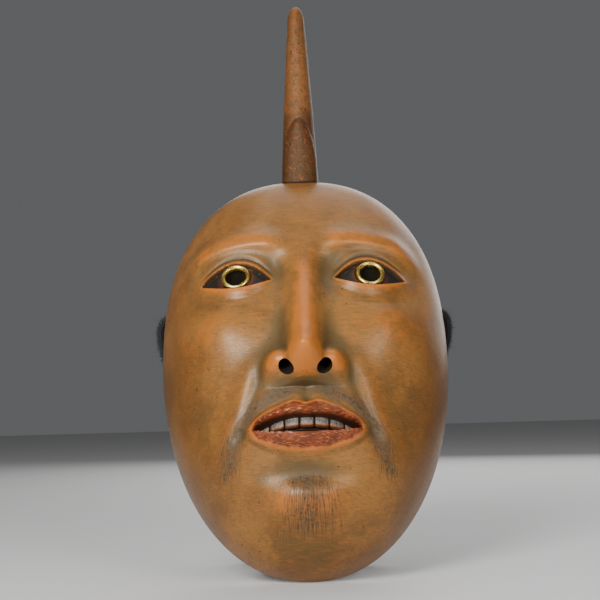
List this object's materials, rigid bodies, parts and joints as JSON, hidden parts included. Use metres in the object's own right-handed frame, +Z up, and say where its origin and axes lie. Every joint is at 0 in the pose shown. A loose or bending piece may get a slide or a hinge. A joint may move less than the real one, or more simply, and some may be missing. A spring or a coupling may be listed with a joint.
{
  "type": "noh mask",
  "caption": "Carved hollow wooden face mask with one upright plug-in horn, metal eye rings, wearing pads and a coiled tying cord at each ear, leaning back on its chin.",
  "frame": {"origin": "under the middle of the leaning mask, on the table plane that its chin stands on", "axes": "+Z up, +X to the wearer's left, the face looks towards -Y and leans back 30 degrees"},
  "size_m": [0.1463, 0.1322, 0.2839],
  "materials": {
    "painted_wood": "semi-gloss ochre-brown paint on wood, worn to orange on the edges",
    "teeth": "silver-grey painted wood, worn brown at the edges",
    "brass": "gilt, lightly worn",
    "bare_wood": "bare cut cypress",
    "silk_cord": "round braid, black",
    "pad_cloth": "plain weave cotton over wadding",
    "tie_string": "twisted paper string"
  },
  "bodies": {
    "mask": {"mask_shell": "painted_wood", "upper_teeth": "teeth", "left_eye_ring": "brass", "right_eye_ring": "brass", "forehead_pad": "pad_cloth", "left_cheek_pad": "pad_cloth", "right_cheek_pad": "pad_cloth", "left_cord": "silk_cord", "left_cord_stopper_knot": "silk_cord", "left_cord_coil": "silk_cord", "left_cord_end_knot": "silk_cord", "left_coil_tie": "tie_string", "right_cord": "silk_cord", "right_cord_stopper_knot": "silk_cord", "right_cord_coil": "silk_cord", "right_cord_end_knot": "silk_cord", "right_coil_tie": "tie_string"},
    "horn": {"horn": "painted_wood", "horn_tenon": "bare_wood"}
  },
  "joints": [
    {"name": "horn_pull", "type": "slide", "parent": "mask", "child": "horn", "axis": [0, 0.0349, 0.9994], "range_m": [0, 0.03]}
  ]
}
